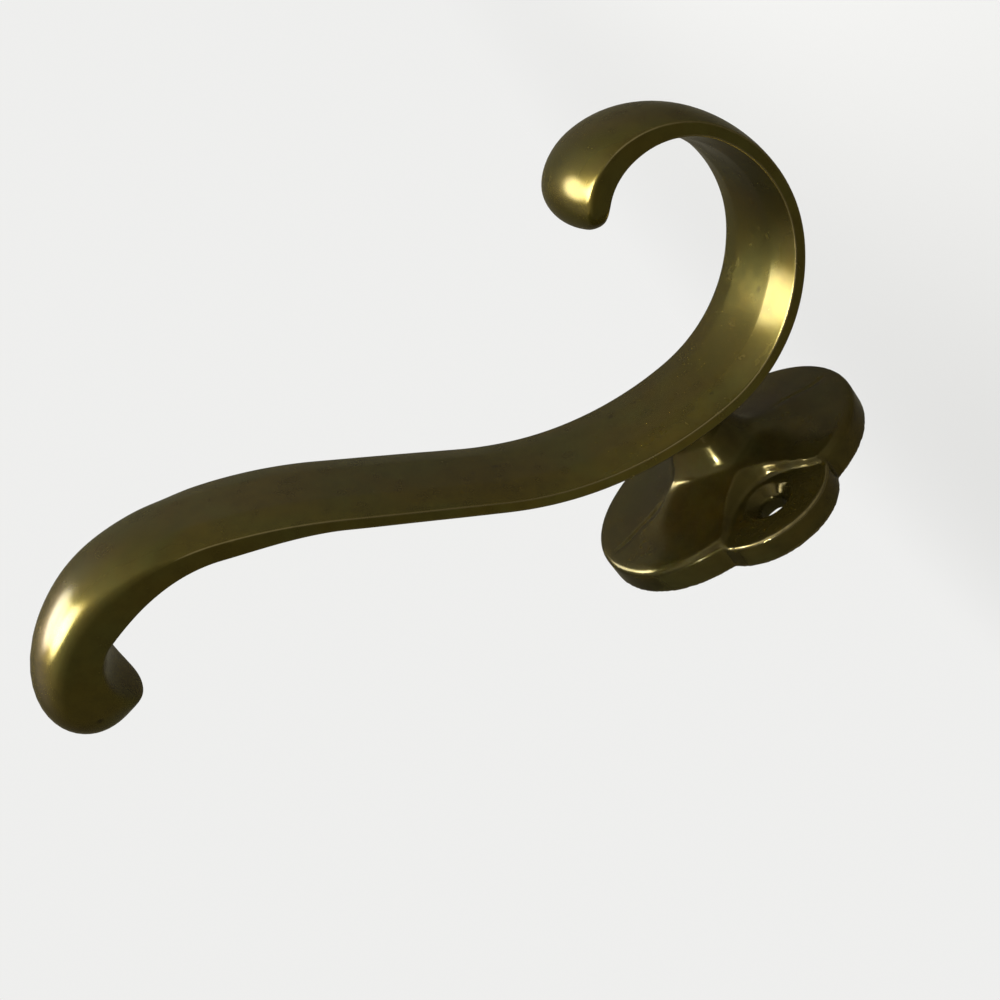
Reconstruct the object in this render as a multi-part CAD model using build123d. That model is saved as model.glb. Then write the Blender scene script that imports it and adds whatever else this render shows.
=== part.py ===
from build123d import *
from dataclasses import dataclass
from itertools import accumulate
from math import cos, pi, radians, sin, tan
import os

# Hat and coat hook: one brass casting. A four-lobed rose is screwed to the wall, a short stem
# stands out of it, and one S-shaped strap crosses the stem. Its long end is the hat hook and its
# short end curls round as the coat hook. Both ends roll over and close as rounded knuckles.
#
# Frame, millimetres: X runs along the wall, Z is up, the wall is the plane Y = 0 and the hook
# stands out from it along -Y. The origin is the centre of the rose's back face. "Out" means the
# distance from the wall, which is -Y.

# --- rose -----------------------------------------------------------------------------------
ROSE_HALF_HEIGHT = 25.0     # centre to the tip of the top and bottom lobes
ROSE_HALF_WIDTH = 25.4      # centre to the tip of the side lobes
TALL_LOBE_R = 18.8          # radius of the top and bottom lobes
SIDE_LOBE_R = 11.7          # radius of the side lobes, which hold the screws
RIM_H = 4.8                 # height of the rim above the wall
RIM_CHAMFER = 0.5           # worn edge round the front of the rim
SHOULDER_R = 14.0           # the rose has risen to its shoulder at this radius
SHOULDER_H = 7.2
HUB_R = 8.5                 # the rose meets the foot of the stem at this radius
HUB_H = 9.6

# --- screw holes and the dished pockets round them --------------------------------------------
SCREW_SPACING = 32.0        # between the two screws, along X
SCREW_HOLE_R = 2.4          # clearance hole for the wood screw
SCREW_HEAD_R = 4.2          # countersink where it meets the pocket's floor
COUNTERSINK_ANGLE = 90.0    # included angle of the countersink
POCKET_OFFSET = 15.2        # the pocket's centre lies this far outboard of its screw
POCKET_FLOOR_R = 18.1
POCKET_FLOOR_H = 4.4        # height of the floor above the wall
POCKET_DRAFT = 20.0         # slope of the pocket's wall
POCKET_FILLET = 2.5         # between the floor and the wall

# --- stem -----------------------------------------------------------------------------------
STEM_R = 6.0
STEM_FOOT_H = 14.0          # height at which the rose's swelling has closed to the stem's radius

# --- strap: its path is the front edge line of its flat sides -----------------------------------
NECK_OUT = 20.1             # the path's closest approach to the wall
NECK_DROP = 4.3             # that closest point lies this far below the rose's centre
HAT_RISE_R = 59.0           # runs of the hat hook, each a radius and the angle turned through
HAT_RISE_TURN = 37.7
HAT_STRAIGHT = 24.6         # a straight run
HAT_SWEEP_R = 85.3
HAT_SWEEP_TURN = -12.8
HAT_BEND_R = 32.7
HAT_BEND_TURN = -40.2
HAT_ROLL_R = 15.8
HAT_ROLL_TURN = -86.2
COAT_DROP_R = 25.5          # runs of the coat hook
COAT_DROP_TURN = -60.1
COAT_BELLY_R = 20.1
COAT_BELLY_TURN = -63.5
COAT_RISE_R = 13.4
COAT_RISE_TURN = -63.5
COAT_ROLL_R = 9.0
COAT_ROLL_TURN = -68.5

NECK_HALF_WIDTH = 12.5
HAT_HALF_WIDTH = 13.4       # where the hat hook's sweep begins
HAT_ROLL_HALF_WIDTH = 11.9  # where its roll begins
HAT_TIP_HALF_WIDTH = 11.1
COAT_BELLY_HALF_WIDTH = 11.4
COAT_TIP_HALF_WIDTH = 11.0

SIDE_H = 1.7                # height of the flat sides along the middle of the strap
HAT_SWEEP_SIDE_H = 2.7
HAT_BEND_SIDE_H = 3.8
HAT_TIP_SIDE_H = 6.6
COAT_BELLY_SIDE_H = 1.9
COAT_TIP_SIDE_H = 3.6

FACE_RISE = 1.0             # front face above the edge lines
HAT_SWEEP_FACE_RISE = 1.2
HAT_BEND_FACE_RISE = 4.5
HAT_TIP_FACE_RISE = 7.1     # the domed knuckle of the hat hook
COAT_TIP_FACE_RISE = 0.7
BACK_RISE = 2.6             # crowned back behind the edge lines
HAT_BEND_BACK_RISE = 0.9
HAT_TIP_BACK_RISE = 0.6
COAT_BELLY_BACK_RISE = 1.8
COAT_TIP_BACK_RISE = 2.0

FLAT_SHARE = 0.48           # the flat along the front face, as a share of the strap's width
FLAT_LIFT = 0.94            # height of the flat's edges, as a share of the face's rise
DOME_FLAT_LIFT = 0.8        # the same where the face is fully domed
FACET_LIFT = 0.5            # middle of the facet beside it: 0.5 is a plane facet
DOME_LIFT = 0.3             # what a full dome adds to that
CROWN_LIFT = 0.75           # back's height half way to its edge, as a share of its rise

HAT_END_ROUNDING = 13.2     # the outer surface closes onto the inner one over this length
COAT_END_ROUNDING = 7.3
HAT_CORNER_ROUNDING = 12.8  # the sides close over this length
COAT_CORNER_ROUNDING = 4.6
END_FULLNESS = 2.4          # the closing curve: 2 is an ellipse, and more is blunter
STATION_STEP = 5.0          # spacing of the strap's sections
END_STATIONS = (0.85, 0.6, 0.38, 0.2, 0.08, 0.02)   # sections of an end, shares of its rounding

DOWNWARD = pi               # headings are measured from +Z towards the room
UPWARD = 0.0
WALL = Plane(origin=(0, 0, 0), x_dir=(1, 0, 0), z_dir=(0, -1, 0))   # sketch plane facing the room


@dataclass
class Run:
    """One run of a path: an arc of a radius, or a straight run where the turn is 0."""
    size: float
    turn: float = 0.0

    def length(self):
        """Length along the run."""
        return self.size * radians(abs(self.turn)) if self.turn else self.size

    def bend(self):
        """Turn for each millimetre along the run, in radians."""
        return radians(self.turn) / self.length()


@dataclass
class Arm:
    """One arm of the strap. Its sizes are laws: (distance from the neck, value) knots."""
    runs: list
    heading: float
    front_is_inside: bool
    end_rounding: float
    corner_rounding: float
    half_width: list
    side: list
    face: list
    back: list


def advance(out, up, heading, bend, length):
    """Where a run of constant bend has got to after a length."""
    if bend == 0.0:
        return out + length * sin(heading), up + length * cos(heading), heading
    end = heading + bend * length
    return out - (cos(end) - cos(heading)) / bend, up + (sin(end) - sin(heading)) / bend, end


def reaches(runs):
    """Distances from the neck to the end of each run of a path."""
    return list(accumulate(run.length() for run in runs))


def place_on(runs, heading, distance):
    """The point (out, up) and heading of a path at a distance from the neck."""
    out, up = NECK_OUT, -NECK_DROP
    for run in runs:
        step = min(run.length(), distance)
        out, up, heading = advance(out, up, heading, run.bend(), step)
        distance -= step
    return out, up, heading


def blend(distance, knots):
    """Value of a size that eases from knot to knot, each a (distance, value)."""
    for (near, low), (far, high) in zip(knots, knots[1:]):
        if distance <= far:
            share = (distance - near) / (far - near)
            return low + (high - low) * share * share * (3 - 2 * share)
    return knots[-1][1]


def stations(length, rounding):
    """Distances from the neck of an arm's sections, closer together where its end closes."""
    plain = length - rounding
    count = round(plain / STATION_STEP)
    along = [plain * index / count for index in range(count + 1)]
    return along + [length - rounding * share for share in END_STATIONS]


def closing(distance, length, rounding):
    """Scale of a size: 1 along the arm, then a full quarter round down to 0 at its end."""
    left = min(1.0, (length - distance) / rounding)
    return (1.0 - (1.0 - left) ** END_FULLNESS) ** (1.0 / END_FULLNESS)


def section(out, up, heading, half_width, side, face, back, dome):
    """One closed section: a flat and two facets in front, flat sides and a crowned back.

    out and up give the middle of the flat sides, and the front faces right of the heading.
    """
    front = side / 2
    flat = half_width * FLAT_SHARE
    lift = face * (FLAT_LIFT + (DOME_FLAT_LIFT - FLAT_LIFT) * dome)
    facet = (half_width + flat) / 2
    facet_lift = lift * (FACET_LIFT + DOME_LIFT * dome)

    def at(across, forward):
        return Vector(across, -(out + forward * cos(heading)), up - forward * sin(heading))

    return Wire([
        Spline(at(-half_width, front), at(-facet, front + facet_lift), at(-flat, front + lift)),
        Spline(at(-flat, front + lift), at(0, front + face), at(flat, front + lift)),
        Spline(at(flat, front + lift), at(facet, front + facet_lift), at(half_width, front)),
        Line(at(half_width, front), at(half_width, -front)),
        Spline(at(half_width, -front), at(half_width / 2, -front - back * CROWN_LIFT),
               at(0, -front - back), at(-half_width / 2, -front - back * CROWN_LIFT),
               at(-half_width, -front)),
        Line(at(-half_width, -front), at(-half_width, front)),
    ])


def arm_sections(arm):
    """Sections of one arm from the neck to its end, all facing the same way as the hat hook's."""
    length = sum(run.length() for run in arm.runs)
    wires = []
    for distance in stations(length, arm.end_rounding):
        scale = closing(distance, length, arm.end_rounding)
        narrowing = closing(distance, length, arm.corner_rounding)
        out, up, course = place_on(arm.runs, arm.heading, distance)
        course -= arm.heading
        side = blend(distance, arm.side)
        face = blend(distance, arm.face)
        dome = min(1.0, max(0.0, (face - FACE_RISE) / (HAT_TIP_FACE_RISE - FACE_RISE)))
        centre = side * scale / 2 if arm.front_is_inside else side * (1 - scale / 2)
        wires.append(section(out - centre * cos(course), up + centre * sin(course), course,
                             blend(distance, arm.half_width) * narrowing, side * scale,
                             face * scale, blend(distance, arm.back) * scale, dome))
    return wires


def hat_arm():
    """The hat hook, whose front is the outside of its bend."""
    runs = [Run(HAT_RISE_R, HAT_RISE_TURN), Run(HAT_STRAIGHT), Run(HAT_SWEEP_R, HAT_SWEEP_TURN),
            Run(HAT_BEND_R, HAT_BEND_TURN), Run(HAT_ROLL_R, HAT_ROLL_TURN)]
    _, straight, sweep, bend, end = reaches(runs)
    return Arm(
        runs=runs, heading=UPWARD, front_is_inside=False,
        end_rounding=HAT_END_ROUNDING, corner_rounding=HAT_CORNER_ROUNDING,
        half_width=[(0, NECK_HALF_WIDTH), (straight, HAT_HALF_WIDTH),
                    (bend, HAT_ROLL_HALF_WIDTH), (end, HAT_TIP_HALF_WIDTH)],
        side=[(0, SIDE_H), (straight, SIDE_H), (sweep, HAT_SWEEP_SIDE_H),
              (bend, HAT_BEND_SIDE_H), (end, HAT_TIP_SIDE_H)],
        face=[(0, FACE_RISE), (straight, FACE_RISE), (sweep, HAT_SWEEP_FACE_RISE),
              (bend, HAT_BEND_FACE_RISE), (end, HAT_TIP_FACE_RISE)],
        back=[(0, BACK_RISE), (straight, BACK_RISE), (bend, HAT_BEND_BACK_RISE),
              (end, HAT_TIP_BACK_RISE)],
    )


def coat_arm():
    """The coat hook, whose front is the inside of its curl."""
    runs = [Run(COAT_DROP_R, COAT_DROP_TURN), Run(COAT_BELLY_R, COAT_BELLY_TURN),
            Run(COAT_RISE_R, COAT_RISE_TURN), Run(COAT_ROLL_R, COAT_ROLL_TURN)]
    drop, belly, _, end = reaches(runs)
    return Arm(
        runs=runs, heading=DOWNWARD, front_is_inside=True,
        end_rounding=COAT_END_ROUNDING, corner_rounding=COAT_CORNER_ROUNDING,
        half_width=[(0, NECK_HALF_WIDTH), (belly, COAT_BELLY_HALF_WIDTH),
                    (end, COAT_TIP_HALF_WIDTH)],
        side=[(0, SIDE_H), (drop, SIDE_H), (belly, COAT_BELLY_SIDE_H), (end, COAT_TIP_SIDE_H)],
        face=[(0, FACE_RISE), (belly, FACE_RISE), (end, COAT_TIP_FACE_RISE)],
        back=[(0, BACK_RISE), (belly, COAT_BELLY_BACK_RISE), (end, COAT_TIP_BACK_RISE)],
    )


def make_strap():
    """The S-shaped strap, one skin over all the sections from coat hook to hat hook."""
    return Solid.make_loft(arm_sections(coat_arm())[:0:-1] + arm_sections(hat_arm()))


def lobed_prism(height):
    """Straight prism over the rose's outline: four overlapping round lobes."""
    tall = ROSE_HALF_HEIGHT - TALL_LOBE_R
    wide = ROSE_HALF_WIDTH - SIDE_LOBE_R
    with BuildPart() as prism:
        with BuildSketch(WALL):
            with Locations((0, tall), (0, -tall)):
                Circle(TALL_LOBE_R)
            with Locations((wide, 0), (-wide, 0)):
                Circle(SIDE_LOBE_R)
        extrude(amount=height)
    return prism.part


def make_rose():
    """The rose: a prism to the rim, under a swelling that climbs to the foot of the stem."""
    rim = lobed_prism(RIM_H)
    front = rim.faces().sort_by(Axis.Y)[0]
    rim = chamfer(front.edges(), RIM_CHAMFER)
    outside = max(ROSE_HALF_HEIGHT, ROSE_HALF_WIDTH) - RIM_CHAMFER
    with BuildPart() as swelling:
        with BuildSketch(Plane.XY):
            with BuildLine():
                Line((0, 0), (outside, 0))
                Line((outside, 0), (outside, -RIM_H))
                Spline((outside, -RIM_H), (SHOULDER_R, -SHOULDER_H), (HUB_R, -HUB_H),
                       (STEM_R, -STEM_FOOT_H), tangents=((-1, 0), (0, -1)))
                Line((STEM_R, -STEM_FOOT_H), (0, -STEM_FOOT_H))
                Line((0, -STEM_FOOT_H), (0, 0))
            make_face()
        revolve(axis=Axis.Y)
    inner = lobed_prism(STEM_FOOT_H).faces().sort_by(Axis.Y)[0]
    within = offset(inner, -RIM_CHAMFER)
    column = extrude(within, amount=STEM_FOOT_H, dir=(0, 1, 0))
    return rim + (swelling.part & column)


def make_pocket(side):
    """Tool for one dished pocket: a flat floor, a fillet and a sloping wall."""
    centre = side * (SCREW_SPACING / 2 + POCKET_OFFSET)
    depth = STEM_FOOT_H - POCKET_FLOOR_H
    tool = Cone(POCKET_FLOOR_R, POCKET_FLOOR_R + depth * tan(radians(POCKET_DRAFT)), depth,
                rotation=(90, 0, 0))
    floor_edge = tool.edges().sort_by(Axis.Y)[-1]
    tool = fillet(floor_edge, POCKET_FILLET)
    return tool.moved(Location((centre, -POCKET_FLOOR_H - depth / 2, 0)))


def make_screw_hole(side):
    """Tool for one countersunk screw hole, open at both ends."""
    sink = (SCREW_HEAD_R - SCREW_HOLE_R) / tan(radians(COUNTERSINK_ANGLE / 2))
    above = STEM_FOOT_H - POCKET_FLOOR_H
    shank = Cylinder(SCREW_HOLE_R, 2 * STEM_FOOT_H, rotation=(90, 0, 0))
    cone = Cone(SCREW_HOLE_R, SCREW_HEAD_R, sink, rotation=(90, 0, 0))
    mouth = Cylinder(SCREW_HEAD_R, above, rotation=(90, 0, 0))
    tool = (shank + cone.moved(Location((0, -POCKET_FLOOR_H + sink / 2, 0)))
            + mouth.moved(Location((0, -POCKET_FLOOR_H - above / 2, 0))))
    return tool.moved(Location((side * SCREW_SPACING / 2, 0, 0)))


def make_stem():
    """Round stem from inside the rose to inside the strap."""
    root = RIM_H
    head = NECK_OUT - SIDE_H
    stem = Cylinder(STEM_R, head - root, rotation=(90, 0, 0))
    return stem.moved(Location((0, -(root + head) / 2, 0)))


def make_hook():
    """The whole casting in one solid."""
    rose = make_rose()
    for side in (-1, 1):
        rose -= make_pocket(side)
        rose -= make_screw_hole(side)
    return rose + make_stem() + make_strap()


if __name__ == "__main__":
    os.makedirs("parts", exist_ok=True)
    hook = make_hook()
    hook.label = "hook_casting"
    export_step(hook, "parts/hook_casting.step")
    print("solids", len(hook.solids()), "valid", hook.is_valid, "volume", round(hook.volume))
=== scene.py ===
"""Aged brass hat and coat hook, dressed for a studio picture.

The hook is one casting: a lobed rose on the wall, a short stem, and an S-shaped strap whose upper
end is the hat hook and whose lower end curls round as the coat hook. The CAD solid keeps the
construction. This file makes the casting's visible surface again with softened edges, hand
finished faces and an aged brass finish, in the same frame, and lights it.
"""
import logging
from dataclasses import dataclass, field
from enum import Enum
from math import cos, pi, radians, sin, tan

import bmesh
import bpy
import numpy as np
from mathutils import Matrix, Vector, noise


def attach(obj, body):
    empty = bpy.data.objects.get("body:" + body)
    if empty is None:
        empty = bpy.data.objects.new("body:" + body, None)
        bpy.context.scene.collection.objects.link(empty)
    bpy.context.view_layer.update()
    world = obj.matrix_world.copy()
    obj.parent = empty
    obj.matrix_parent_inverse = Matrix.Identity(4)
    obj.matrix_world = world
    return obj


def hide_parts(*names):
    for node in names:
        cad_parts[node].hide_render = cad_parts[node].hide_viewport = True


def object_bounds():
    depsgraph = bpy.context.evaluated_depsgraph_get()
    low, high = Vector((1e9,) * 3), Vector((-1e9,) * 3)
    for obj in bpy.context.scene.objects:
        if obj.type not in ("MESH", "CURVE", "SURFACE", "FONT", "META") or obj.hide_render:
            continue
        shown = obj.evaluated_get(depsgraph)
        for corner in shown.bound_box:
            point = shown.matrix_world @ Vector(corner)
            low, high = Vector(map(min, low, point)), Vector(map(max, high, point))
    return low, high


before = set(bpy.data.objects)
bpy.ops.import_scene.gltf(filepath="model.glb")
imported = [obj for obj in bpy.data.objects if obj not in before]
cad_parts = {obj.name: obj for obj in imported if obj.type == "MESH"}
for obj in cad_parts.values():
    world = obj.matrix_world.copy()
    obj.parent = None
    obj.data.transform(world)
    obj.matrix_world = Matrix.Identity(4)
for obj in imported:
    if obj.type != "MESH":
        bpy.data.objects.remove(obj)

LOG = logging.getLogger("hook")
MM = 0.001
NODE = "hook_casting"
SURFACE = "hook_surface"
EDGE, HOLLOW = "edge", "hollow"
CAD_BOX = [list(map(float, corner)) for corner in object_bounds()]

Pair = tuple[float, float]
Triple = tuple[float, float, float]
Colour = tuple[float, float, float, float]
Object = bpy.types.Object
Socket = bpy.types.NodeSocket


# ---- Strap ----
@dataclass(frozen=True)
class Run:
    """One run of a strap's path: an arc of a radius, or a straight run where turn is 0.

    Attributes:
        size: Radius of the arc, or length of the straight run, in metres.
        turn: Degrees turned through, positive towards the room while the path climbs.
    """
    size: float
    turn: float = 0.0

    @property
    def length(self) -> float:
        """Length along the run."""
        return self.size * radians(abs(self.turn)) if self.turn else self.size

    def advance(self, out: float, up: float, heading: float, step: float) -> Triple:
        """Follow the run for a step.

        Args:
            out: Distance from the wall at the start.
            up: Height at the start.
            heading: Direction at the start, measured from +Z towards the room.
            step: Distance to go.

        Returns:
            The new out, up and heading.
        """
        if not self.turn:
            return out + step * sin(heading), up + step * cos(heading), heading
        bend = radians(self.turn) / self.length
        end = heading + bend * step
        return out - (cos(end) - cos(heading)) / bend, up + (sin(end) - sin(heading)) / bend, end


@dataclass(frozen=True)
class Law:
    """A size that eases from knot to knot along an arm, each knot a (distance, value)."""
    knots: tuple[Pair, ...]

    def at(self, distance: float) -> float:
        """Value at a distance from the neck.

        Args:
            distance: Distance along the path.

        Returns:
            The eased value.
        """
        for (near, low), (far, high) in zip(self.knots, self.knots[1:]):
            if distance <= far:
                share = (distance - near) / (far - near)
                return low + (high - low) * share * share * (3 - 2 * share)
        return self.knots[-1][1]


@dataclass
class Profile:
    """Cross-section of the strap, with a flat and two facets in front and a crowned back.

    Attributes:
        flat_share: The flat's share of the strap's width.
        flat_lift: Height of the flat's edges, as a share of the face's rise.
        dome_flat_lift: The same where the face is fully domed.
        facet_lift: Middle of a facet, as a share of the flat's height. 0.5 is a plane facet.
        dome_lift: What a full dome adds to that.
        arch: Power of a full dome's curve: 2 is an ellipse.
        crown_lift: The back's height half way to its edge, as a share of its rise.
        softest: Most that edges are worn round, as a share of the section's girth.
        counts: Mesh points along a facet, the flat, a side and the back.
        evenness: How evenly they lie, from 0, crowded towards the edges, to 1.
        dense: Points across the section while it is worked out.
        samples: Points round it while its edges are worn.
    """
    flat_share: float = 0.48
    flat_lift: float = 0.94
    dome_flat_lift: float = 0.8
    facet_lift: float = 0.58
    dome_lift: float = 0.3
    arch: float = 2.0
    crown_lift: float = 0.75
    softest: float = 0.03
    counts: tuple[int, int, int, int] = (17, 18, 9, 34)
    evenness: float = 0.4
    dense: int = 240
    samples: int = 1024

    def front(self, width: float, rise: float, dome: float, across: np.ndarray) -> np.ndarray:
        """Height of the front face above its edge lines.

        Args:
            width: Half width of the strap.
            rise: Height of the face on the middle line.
            dome: 0 for plane facets, 1 for fully domed ones.
            across: Places from the middle line.

        Returns:
            Heights at those places.
        """
        flat = width * self.flat_share
        lift = rise * (self.flat_lift + (self.dome_flat_lift - self.flat_lift) * dome)
        place = np.abs(across)
        crown = rise - (rise - lift) * (place / flat) ** 2
        along = (width - place) / (width - flat)
        bulge = 4 * (self.facet_lift + self.dome_lift * dome - 0.5)
        facet = lift * (along + bulge * along * (1 - along))
        arch = rise * (1 - (place / width) ** self.arch) ** (1 / self.arch)
        return (1 - dome) * np.where(place <= flat, crown, facet) + dome * arch

    def sharp(self, width: float, side: float, rise: float, back: float,
              dome: float) -> list[np.ndarray]:
        """One section before its edges are worn.

        Args:
            width: Half width.
            side: Height of the flat sides.
            rise: Rise of the front face above the sides.
            back: Rise of the crowned back behind them.
            dome: How far the facets are domed, 0 to 1.

        Returns:
            Its left facet, flat, right facet, right side, back and left side, each as rows of
            (across, forward).
        """
        across = np.linspace(-width, width, self.dense)
        flat = width * self.flat_share
        edges = (-width, -flat, flat, width)
        fronts = [np.linspace(start, end, self.dense // 3) for start, end in zip(edges, edges[1:])]
        down = np.linspace(side / 2, -side / 2, self.dense // 6)
        share = across[::-1] / width
        even = 1 - share ** 2
        crown = back * (even + (4 * self.crown_lift - 3) * 4 / 3 * even * share ** 2)
        return ([np.stack([part, side / 2 + self.front(width, rise, dome, part)], 1)
                 for part in fronts]
                + [np.stack([np.full_like(down, width), down], 1),
                   np.stack([across[::-1], -side / 2 - crown], 1),
                   np.stack([np.full_like(down, -width), down[::-1]], 1)])

    def points(self, softness: float, *sizes: float) -> np.ndarray:
        """One closed section, its edges worn round.

        Args:
            softness: How far the edges are worn round.
            *sizes: The sizes that the sharp section takes.

        Returns:
            Rows of (across, forward), counter-clockwise from the left front edge.
        """
        parts = self.sharp(*sizes)
        sharp = np.concatenate([part[:-1] for part in parts])
        steps = np.linalg.norm(np.roll(sharp, -1, 0) - sharp, axis=1)
        reach = np.concatenate([[0.0], np.cumsum(steps)])
        girth = reach[-1]
        corners = reach[np.cumsum([0] + [len(part) - 1 for part in parts])]
        even_steps = np.linspace(0, girth, self.samples, endpoint=False)
        closed = np.concatenate([sharp, sharp[:1]])
        ring = np.stack([np.interp(even_steps, reach, closed[:, axis]) for axis in (0, 1)], 1)
        blur = min(softness / girth, self.softest)
        waves = np.fft.fftfreq(self.samples, 1 / self.samples)
        damp = np.exp(-2 * (pi * waves * blur) ** 2)[:, None]
        ring = np.fft.ifft(np.fft.fft(ring, axis=0) * damp, axis=0).real
        facet, middle, edge, rear = self.counts
        counts = (facet, middle, facet, edge, rear, edge)
        picks = []
        for start, end, count in zip(corners, corners[1:], counts):
            even = np.linspace(0, 1, count, endpoint=False)
            crowded = (1 - np.cos(np.linspace(0, pi, count, endpoint=False))) / 2
            mixed = (1 - self.evenness) * crowded + self.evenness * even
            picks.append(start + (end - start) * mixed)
        where = np.concatenate(picks)
        grid = np.concatenate([even_steps, [girth]])
        looped = np.concatenate([ring, ring[:1]])
        return np.stack([np.interp(where, grid, looped[:, axis]) for axis in (0, 1)], 1)


@dataclass
class Arm:
    """One arm of the strap, from the neck to its rounded end.

    Attributes:
        runs: The path's runs.
        heading: Its direction at the neck, measured from +Z towards the room.
        front_is_inside: Whether the front face is on the inside of the bend.
        end_rounding: The outer surface closes onto the inner one over this length.
        corner_rounding: The sides close over this length.
        half_width, side, face, back: Laws of the section's sizes.
        softness: Law of how far its edges are worn round.
        neck: Out and up of the path's start.
        dome_range: Face rises at which the face starts to dome and is fully domed.
        fullness: Power of the closing curve: 2 is an ellipse, and more is blunter.
        spacing: Distance between the mesh's sections.
        end_steps: Sections round the end.
        end_crowding: Power that crowds them towards its point.
    """
    runs: tuple[Run, ...]
    heading: float
    front_is_inside: bool
    end_rounding: float
    corner_rounding: float
    half_width: Law
    side: Law
    face: Law
    back: Law
    softness: Law
    neck: Pair
    dome_range: Pair
    fullness: float = 2.4
    spacing: float = 0.9 * MM
    end_steps: int = 32
    end_crowding: float = 1.6

    @property
    def length(self) -> float:
        """Length of the arm's path."""
        return sum(run.length for run in self.runs)

    def place(self, distance: float) -> Triple:
        """Point and direction of the path.

        Args:
            distance: Distance from the neck.

        Returns:
            Out, up and heading.
        """
        out, up = self.neck
        heading = self.heading
        for run in self.runs:
            step = min(run.length, distance)
            out, up, heading = run.advance(out, up, heading, step)
            distance -= step
        return out, up, heading

    def closing(self, distance: float, rounding: float) -> float:
        """Scale of a size, 1 along the arm and then a full quarter round down to 0.

        Args:
            distance: Distance from the neck.
            rounding: Length over which the size closes.

        Returns:
            The scale.
        """
        left = min(1.0, max(0.0, (self.length - distance) / rounding))
        return (1.0 - (1.0 - left) ** self.fullness) ** (1.0 / self.fullness)

    def stations(self) -> list[float]:
        """Distances of the sections: even along the arm, then even round the end."""
        plain = self.length - self.end_rounding
        count = round(plain / self.spacing)
        along = [plain * index / count for index in range(count + 1)]
        shares = [index / self.end_steps for index in range(1, self.end_steps)]
        angles = [pi / 2 * (1 - (1 - share) ** self.end_crowding) for share in shares]
        return along + [plain + self.end_rounding * sin(angle) ** (2 / self.fullness)
                        for angle in angles]

    def section(self, distance: float, profile: Profile) -> np.ndarray:
        """Points of one section in the hook's frame.

        Args:
            distance: Distance from the neck.
            profile: The section's shape.

        Returns:
            Rows of (x, y, z).
        """
        scale = self.closing(distance, self.end_rounding)
        narrowing = self.closing(distance, self.corner_rounding)
        out, up, course = self.place(distance)
        course -= self.heading
        side = self.side.at(distance)
        face = self.face.at(distance)
        flat_rise, full_rise = self.dome_range
        dome = min(1.0, max(0.0, (face - flat_rise) / (full_rise - flat_rise)))
        dome = dome * dome * (3 - 2 * dome)
        centre = side * scale / 2 if self.front_is_inside else side * (1 - scale / 2)
        out, up = out - centre * cos(course), up + centre * sin(course)
        across, forward = profile.points(
            self.softness.at(distance), self.half_width.at(distance) * narrowing, side * scale,
            face * scale, self.back.at(distance) * scale, dome).T
        return np.stack([across, -(out + forward * cos(course)), up - forward * sin(course)], 1)

    def rings(self, profile: Profile) -> list[np.ndarray]:
        """Every section of the arm, from the neck outwards."""
        return [self.section(distance, profile) for distance in self.stations()]


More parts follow.
